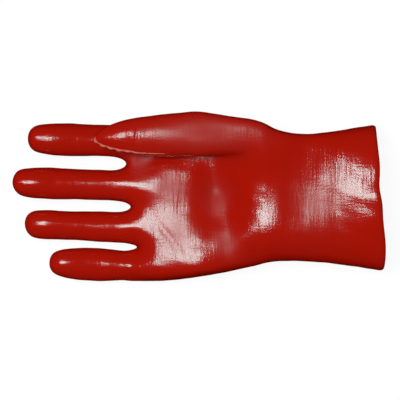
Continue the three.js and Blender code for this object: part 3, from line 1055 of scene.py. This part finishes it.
@dataclass
class ThumbSeam:
    """The liner's seam, which shows through the coat as a fine bead along the thumb and over its tip.

    Sizes are in millimetres and the tilt in degrees. Shares run from 0 at the palm to 1 at the seam's far
    end. The bead is finer at the palm, and falls into single beads from tip_start on, over tip_blend.
    """

    half_width: float = 0.9
    height: float = 1.0
    sunk: float = 0.5
    tilt: float = 19.0
    start_x: float = -12.0
    tip_x: float = -70.0
    step: float = 0.7
    slice_reach: float = 2.0
    tip_slice_reach: float = 1.5
    tip_steps: int = 21
    half_turn_steps: int = 26
    least_thumb: float = 0.05
    smooth_rounds: int = 4
    side_points: int = 8
    fade_in: float = 0.25
    fade_out: float = 0.12
    fade_power: float = 0.7
    tip_start: float = 0.35
    tip_blend: float = 0.25
    palm_girth: float = 0.55
    bead_length: float = 6.2
    bead_depth: float = 0.12
    tip_bead_depth: float = 0.5

    def _slice(self, outer: Skin, x: float, reach: float) -> np.ndarray:
        """The points of the thumb that are within a reach of a place along the glove."""
        near = (outer.thumb > self.least_thumb) & (np.abs(outer.points[:, 0] - x) < reach)
        return outer.points[near]

    def path(self, outer: Skin) -> list[tuple[Vector, Vector]]:
        """The bead's line on the coat, found by rays from the thumb's middle line.

        Args:
            outer: The coat's outer surface.

        Returns:
            Places and outward directions, from the palm to the far side of the tip.
        """
        rays = []
        x = self.start_x
        while x > self.tip_x:
            band = self._slice(outer, x, self.slice_reach)
            _, y, z = (band.min(0) + band.max(0)) / 2
            rays.append((Vector((x, y, z)), -math.pi / 2))
            x -= self.step
        band = self._slice(outer, self.tip_x, self.tip_slice_reach)
        tip = Vector((self.tip_x, band[:, 1].mean(), (band[:, 2].min() + band[:, 2].max()) / 2))
        for i in range(1, self.tip_steps + 1):
            rays.append((tip, -math.pi / 2 - math.pi * i / self.half_turn_steps))
        tree = BVHTree.FromPolygons([Vector(p) for p in outer.points], outer.quads.tolist())
        up = math.radians(self.tilt)
        found = []
        for centre, azimuth in rays:
            out = Vector((math.cos(azimuth) * math.cos(up), math.sin(azimuth) * math.cos(up), math.sin(up)))
            place, normal, _, _ = tree.ray_cast(centre, out)
            if place is not None:
                found.append((place, normal))
        return found

    def _thickness(self, places: np.ndarray) -> tuple[np.ndarray, np.ndarray]:
        """How thick the bead is along its line.

        Args:
            places: The line's places.

        Returns:
            Its girth at each place, as a share of the full one, and the height of its beads, about 1.
        """
        share = np.linspace(0, 1, len(places))
        fade = np.clip(np.minimum(share / self.fade_in, (1 - share) / self.fade_out), 0, 1) ** self.fade_power
        near_tip = np.clip((share - self.tip_start) / self.tip_blend, 0, 1)
        girth = fade * lerp(self.palm_girth, 1.0, near_tip)
        run = np.concatenate([[0], np.cumsum(np.linalg.norm(np.diff(places, axis=0), axis=1))])
        turn = run * 2 * np.pi / self.bead_length
        coarse = (self.bead_depth + self.tip_bead_depth * near_tip) * np.sin(turn)
        return girth, 1 + coarse + self.bead_depth * np.sin(2 * turn + 1)

    def _faces(self, count: int) -> list[Sequence[int]]:
        """The faces of a closed tube.

        Args:
            count: How many rings of points it has.

        Returns:
            The point numbers of each face.
        """
        m = self.side_points
        faces: list[Sequence[int]] = []
        for i in range(count - 1):
            for k in range(m):
                j = (k + 1) % m
                faces.append((i * m + k, i * m + j, (i + 1) * m + j, (i + 1) * m + k))
        faces.append(list(range(m))[::-1])
        faces.append([(count - 1) * m + k for k in range(m)])
        return faces

    def build(self, outer: Skin, finish: CoatFinish) -> bpy.types.Object:
        """Makes the piece.

        Args:
            outer: The coat's outer surface, on which it lies.
            finish: What it is made of, whose paler pink is a painted highlight.

        Returns:
            The piece.
        """
        path = self.path(outer)
        places = np.array([p for p, _ in path])
        normals = np.array([n for _, n in path])
        for _ in range(self.smooth_rounds):
            for line in (places, normals):
                line[1:-1] = (line[:-2] + 2 * line[1:-1] + line[2:]) / 4
        normals /= np.linalg.norm(normals, axis=1, keepdims=True)
        way = np.gradient(places, axis=0)
        way /= np.linalg.norm(way, axis=1, keepdims=True)
        across = np.cross(normals, way)
        girth, beads = self._thickness(places)
        sides = []
        for k in range(self.side_points):
            angle = 2 * math.pi * k / self.side_points
            rise = math.sin(angle)
            high = (self.height if rise > 0 else self.sunk) * rise
            wide = self.half_width * math.cos(angle)
            lift = high * girth * beads - self.sunk * (1 - girth)
            sides.append(places + across * (wide * girth)[:, None] + normals * lift[:, None])
        ring = np.stack(sides, axis=1).reshape(-1, 3)
        piece = mesh_piece("thumb_seam", ring * MM, self._faces(len(places)))
        dress(piece, finish.build())
        return piece


class Shader:
    """A material's node tree, in which every node comes from one method."""

    def __init__(self, name: str) -> None:
        """Starts an empty material.

        Args:
            name: Its name.
        """
        self.material = bpy.data.materials.new(name)
        self.material.use_nodes = True
        self.tree = self.material.node_tree
        self.tree.nodes.clear()

    def node(
        self,
        kind: str,
        settings: Mapping[str, object] | None = None,
        inputs: Mapping[str | int, object] | None = None,
    ) -> bpy.types.Node:
        """Adds a node.

        Args:
            kind: The node's type.
            settings: Its own settings, set first. A ramp's stops are two pairs of place and grey.
            inputs: Values or links for its sockets, by name or number.

        Returns:
            The node.
        """
        made = self.tree.nodes.new(kind)
        for key, value in (settings or {}).items():
            if key == "stops":
                for element, (place, grey) in zip(made.color_ramp.elements, value, strict=True):
                    element.position = place
                    element.color = (grey, grey, grey, 1.0)
            else:
                setattr(made, key, value)
        for key, value in (inputs or {}).items():
            socket = made.inputs[key]
            if isinstance(value, Field):
                self.tree.links.new(value.socket, socket)
            elif isinstance(value, tuple) and len(value) == 3 and socket.type == "RGBA":
                socket.default_value = (*value, 1.0)
            else:
                socket.default_value = value
        return made

    def field(
        self,
        kind: str,
        settings: Mapping[str, object] | None = None,
        inputs: Mapping[str | int, object] | None = None,
        output: str | int = 0,
    ) -> Field:
        """Adds a node and returns one of its outputs, ready for maths."""
        return Field(self, self.node(kind, settings, inputs).outputs[output])

    def place(self) -> Field:
        """The place on the piece, in metres."""
        return self.field("ShaderNodeTexCoord", output="Object")

    def scaled(self, vector: Field, scale: Triple) -> Field:
        """A place, scaled on each axis."""
        return self.field("ShaderNodeVectorMath", {"operation": "MULTIPLY"}, {0: vector, 1: scale})

    def spot(self, vector: Field, centre: Triple, radii: Triple) -> Field:
        """A soft spot that is 1 at its centre and 0 outside its radii.

        Args:
            vector: The place on the piece.
            centre: The spot's centre, in metres.
            radii: How far it reaches along X, Y and Z.

        Returns:
            How much of the spot is at each place.
        """
        moved = self.field("ShaderNodeVectorMath", {"operation": "SUBTRACT"}, {0: vector, 1: centre})
        x, y, z = radii
        near = self.scaled(moved, (1 / x, 1 / y, 1 / z))
        return self.field("ShaderNodeTexGradient", {"gradient_type": "QUADRATIC_SPHERE"}, {"Vector": near})

    def noise(self, vector: Field, scale: float, detail: float = 2.0, roughness: float = 0.5) -> Field:
        """Smooth noise from 0 to 1."""
        return self.field("ShaderNodeTexNoise", {"noise_dimensions": "3D"},
                          {"Vector": vector, "Scale": scale, "Detail": detail, "Roughness": roughness})

    def ramp(self, value: Field, stops: Stops) -> Field:
        """A value sent through a ramp of greys."""
        return self.field("ShaderNodeValToRGB", {"stops": stops}, {"Fac": value})

    def blend(self, share: Field, a: Colour | Field, b: Colour | Field) -> Field:
        """A colour between two others."""
        return self.field("ShaderNodeMix", {"data_type": "RGBA"}, {0: share, 6: a, 7: b}, output=2)

    def bump(self, height: Field, distance: float, normal: Field | None = None) -> Field:
        """A surface direction that follows a height.

        Args:
            height: The height.
            distance: How far a height of 1 stands out, in metres.
            normal: The direction to start from.

        Returns:
            The new direction.
        """
        inputs: dict[str | int, object] = {"Height": height, "Distance": distance, "Strength": 1.0}
        if normal is not None:
            inputs["Normal"] = normal
        return self.field("ShaderNodeBump", None, inputs)

    def finish(self, inputs: Mapping[str | int, object]) -> bpy.types.Material:
        """Ends the material in a Principled shader with the given sockets."""
        surface = self.field("ShaderNodeBsdfPrincipled", None, inputs)
        self.node("ShaderNodeOutputMaterial", None, {"Surface": surface})
        return self.material


class Field:
    """A number or colour that varies over a surface. Operators on it add Math nodes."""

    def __init__(self, shader: Shader, socket: bpy.types.NodeSocket) -> None:
        """Wraps an output socket of a shader's node."""
        self.shader = shader
        self.socket = socket

    def _math(self, operation: str, first: object, second: object) -> Field:
        """Adds a Math node."""
        return self.shader.field("ShaderNodeMath", {"operation": operation}, {0: first, 1: second})

    def __add__(self, other: Field | float) -> Field:
        """Sum."""
        return self._math("ADD", self, other)

    __radd__ = __add__

    def __sub__(self, other: Field | float) -> Field:
        """Difference."""
        return self._math("SUBTRACT", self, other)

    def __rsub__(self, other: Field | float) -> Field:
        """Difference, the other way round."""
        return self._math("SUBTRACT", other, self)

    def __mul__(self, other: Field | float) -> Field:
        """Product."""
        return self._math("MULTIPLY", self, other)

    __rmul__ = __mul__


@dataclass(frozen=True)
class DullSpot:
    """A soft spot in which the coat is less glossy, in metres."""

    centre: Triple
    radii: Triple
    amount: float


@dataclass(frozen=True)
class CoatFinish:
    """Glossy dipped plastic, with the knit under it showing faintly as fine lines round the glove.

    Scales say how often a noise repeats in a metre, and depths are in metres. Courses run round the glove
    and wales along it, and both show more in some patches than in others.
    """

    name: str = "coat_plastic"
    colour: Colour = (0.54, 0.0085, 0.0012)
    deep: Colour = (0.48, 0.007, 0.001)
    gloss: Colour = (0.66, 0.95, 0.93)
    ior: float = 1.5
    roughness: float = 0.15
    uneven: float = 0.1
    duller: float = 0.28
    tone_scale: float = 45.0
    course_scale: Triple = (560.0, 70.0, 70.0)
    wale_scale: Triple = (110.0, 620.0, 300.0)
    wale_share: float = 0.45
    knit_depth: float = 0.0002
    patch_scale: float = 28.0
    patch_stops: Stops = ((0.38, 0.0), (0.62, 1.0))
    least_knit: float = 0.5
    grain_scale: float = 700.0
    grain_depth: float = 0.00005
    dull_spots: tuple[DullSpot, ...] = (
        # The thumb.
        DullSpot((0.006, 0.046, 0.04), (0.075, 0.03, 0.05), 2.1),
        # The middle of the palm, the side of its heel, and the base of the index finger.
        DullSpot((0.013, -0.001, 0.025), (0.018, 0.024, 0.03), 2.2),
        DullSpot((0.021, -0.034, 0.025), (0.018, 0.022, 0.03), 2.2),
        DullSpot((-0.044, 0.027, 0.02), (0.02, 0.018, 0.03), 2.2),
        # The bright patch under the fingers, and the one on the cuff.
        DullSpot((-0.019, 0.007, 0.02), (0.026, 0.02, 0.03), 1.4),
        DullSpot((-0.014, -0.024, 0.025), (0.036, 0.04, 0.03), 0.6),
        DullSpot((0.08, -0.004, 0.04), (0.04, 0.05, 0.06), 0.7),
    )

    def build(self) -> bpy.types.Material:
        """Makes the material.

        Returns:
            The material.
        """
        s = Shader(self.name)
        place = s.place()
        courses = s.noise(s.scaled(place, self.course_scale), 1.0, detail=3.0, roughness=0.6)
        wales = s.noise(s.scaled(place, self.wale_scale), 1.0)
        patches = s.ramp(s.noise(place, self.patch_scale), self.patch_stops)
        shown = patches * (1 - self.least_knit) + self.least_knit
        knit = (courses + wales * self.wale_share) * shown
        grain = s.noise(place, self.grain_scale)
        tone = s.noise(place, self.tone_scale, detail=3.0, roughness=0.6)
        dull = sum(s.spot(place, spot.centre, spot.radii) * spot.amount for spot in self.dull_spots)
        return s.finish({
            "Base Color": s.blend(tone, self.colour, self.deep),
            "Roughness": tone * self.uneven + (self.roughness - self.uneven / 2) + dull * self.duller,
            "Normal": s.bump(grain, self.grain_depth, s.bump(knit, self.knit_depth)),
            "IOR": self.ior,
            "Specular Tint": self.gloss,
        })


@dataclass(frozen=True)
class KnitFinish:
    """Undyed knitted cotton, with the spacing of its wales and courses in millimetres.

    Its colour is darker between the stitches, where the bump is low: painted shade in the gaps.
    """

    colour: Colour = (0.72, 0.66, 0.55)
    # Painted shade: the darker colour of the gaps between stitches, and the ramp stops that set where it
    # falls.
    painted_gap_shade: Colour = (0.52, 0.46, 0.37)
    painted_gap_shade_stops: Stops = ((0.3, 0.0), (0.75, 1.0))
    wale: float = 1.5
    course: float = 1.2
    uneven: float = 0.25
    fluff_scale: float = 2500.0
    fluff_share: float = 0.3
    depth: float = 0.0003
    roughness: float = 0.95
    sheen: float = 0.3

    def build(self) -> bpy.types.Material:
        """Makes the material.

        Returns:
            The material.
        """
        s = Shader("knitted_cotton")
        place = s.place()
        grid = s.scaled(place, (1 / (self.course * MM), 1 / (self.wale * MM), 1 / (self.wale * MM)))
        stitches = s.field("ShaderNodeTexVoronoi", {"feature": "F1"},
                           {"Vector": grid, "Scale": 1.0, "Randomness": self.uneven})
        fluff = s.noise(place, self.fluff_scale, detail=3.0, roughness=0.7)
        return s.finish({
            # Painted shade: the colour darkens in the gaps between the stitches, where the bump is low.
            "Base Color": s.blend(s.ramp(stitches, self.painted_gap_shade_stops), self.colour, self.painted_gap_shade),
            "Roughness": self.roughness,
            "Normal": s.bump(1 - stitches + fluff * self.fluff_share, self.depth),
            "Sheen Weight": self.sheen,
        })


@dataclass(frozen=True)
class StageFinish:
    """A plain surface of the studio, which stays as bright all the way out."""

    name: str
    colour: Colour
    glow: float

    def build(self) -> bpy.types.Material:
        """Makes the material."""
        return Shader(self.name).finish({
            "Base Color": self.colour, "Roughness": 1.0, "Specular IOR Level": 0.0,
            "Emission Color": (1.0, 1.0, 1.0), "Emission Strength": self.glow,
        })


@dataclass(frozen=True)
class Lamp:
    """A soft square light that faces the glove."""

    name: str
    direction: Triple
    size: float
    distance: float
    watts: float

    def build(self, middle: Triple) -> None:
        """Makes the light.

        Args:
            middle: What it faces.
        """
        light = bpy.data.lights.new(self.name, "AREA")
        light.shape = "SQUARE"
        light.size = self.size
        light.energy = self.watts
        lamp = bpy.data.objects.new(self.name, light)
        way = Vector(self.direction).normalized()
        lamp.location = Vector(middle) + way * self.distance
        lamp.rotation_euler = way.to_track_quat("Z", "Y").to_euler()
        bpy.context.scene.collection.objects.link(lamp)


class Ray(Enum):
    """A kind of light ray that a piece of the studio can be hidden from, by Blender's name for it."""

    CAMERA = "visible_camera"
    DIFFUSE = "visible_diffuse"
    GLOSSY = "visible_glossy"
    TRANSMISSION = "visible_transmission"
    SHADOW = "visible_shadow"


@dataclass
class Studio:
    """The floor on its dark underlay, the white room round them, the world and the light."""

    floor_size: float = 3.0
    floor: StageFinish = StageFinish("pale_floor", (0.12, 0.12, 0.12), 0.92)
    underlay_drop: float = 0.001
    underlay: StageFinish = StageFinish("dark_underlay", (0.02, 0.02, 0.02), 0.0)
    room_size: float = 9.0
    room: StageFinish = StageFinish("white_room", (0.0, 0.0, 0.0), 1.0)
    world: Colour = (0.3, 0.3, 0.3)
    middle: Triple = (0.0, 0.0, 0.02)
    key: Lamp = Lamp("key_light", direction=(-0.296, 0.13, 1.0), size=0.8, distance=2.6, watts=34.0)

    @staticmethod
    def _stand(
        name: str,
        corners: Sequence[Triple],
        faces: Sequence[Face],
        finish: StageFinish,
        unseen: Sequence[Ray],
    ) -> None:
        """Puts up one piece of the studio.

        Args:
            name: Its name.
            corners: Its corners, in metres.
            faces: Its faces.
            finish: How it looks.
            unseen: The rays that pass through it.
        """
        piece = mesh_piece(name, np.array(corners), faces)
        piece.data.materials.append(finish.build())
        for ray in unseen:
            setattr(piece, ray.value, False)

    def build(self) -> None:
        """Makes the studio."""
        square = [(0, 1, 2, 3)]
        half = self.floor_size / 2
        corners = [(-half, -half, 0.0), (half, -half, 0.0), (half, half, 0.0), (-half, half, 0.0)]
        self._stand("floor", corners, square, self.floor, (Ray.GLOSSY, Ray.DIFFUSE))
        corners = [(x, y, -self.underlay_drop) for x, y, _ in corners]
        self._stand("underlay", corners, square, self.underlay, (Ray.CAMERA, Ray.GLOSSY))
        half = self.room_size / 2
        corners = [(x, y, z) for x in (-half, half) for y in (-half, half) for z in (-half, half)]
        sides = [(0, 1, 3, 2), (4, 6, 7, 5), (0, 4, 5, 1), (2, 3, 7, 6), (0, 2, 6, 4), (1, 5, 7, 3)]
        unseen = (Ray.DIFFUSE, Ray.GLOSSY, Ray.TRANSMISSION, Ray.SHADOW)
        self._stand("room", corners, sides, self.room, unseen)
        world = bpy.data.worlds.new("studio")
        world.use_nodes = True
        world.node_tree.nodes["Background"].inputs["Color"].default_value = (*self.world, 1.0)
        world.cycles_visibility.glossy = False
        bpy.context.scene.world = world
        self.key.build(self.middle)
        bpy.context.scene.view_settings.view_transform = "Standard"


@dataclass
class ViewCamera:
    """The photograph's viewpoint, straight above the glove, with lens and sensor in millimetres."""

    place: Triple = (0.00145, -0.0022, 1.6)
    lens: float = 196.6
    sensor: float = 36.0

    def build(self) -> None:
        """Makes the camera."""
        data = bpy.data.cameras.new("camera")
        data.lens = self.lens
        data.sensor_width = self.sensor
        camera = bpy.data.objects.new("camera", data)
        camera.location = self.place
        bpy.context.scene.collection.objects.link(camera)
        bpy.context.scene.camera = camera


def main() -> None:
    """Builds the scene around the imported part."""
    logging.basicConfig(level=logging.INFO, format="%(message)s")
    bpy.ops.wm.read_factory_settings(use_empty=True)
    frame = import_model()
    LOG.info("part: nodes %s", sorted(frame["nodes"]))
    ViewCamera().build()
    Studio().build()
    coat = Coat(GloveForm())
    coat_piece, outer = coat.build(CoatFinish())
    LOG.info("coat: %d faces", len(coat_piece.data.polygons))
    liner = Liner().build(coat, KnitFinish())
    LOG.info("liner: %d faces", len(liner.data.polygons))
    # The seam's plastic is painted a paler pink than the coat: painted highlight along the bead, for the
    # glint it catches.
    seam_painted_highlight_finish = CoatFinish(
        "seam_plastic_painted_highlight", colour=(0.9, 0.26, 0.19), deep=(0.55, 0.04, 0.02), roughness=0.3
    )
    seam = ThumbSeam().build(outer, seam_painted_highlight_finish)
    LOG.info("thumb seam: %d faces", len(seam.data.polygons))


if __name__ == "__main__":
    main()
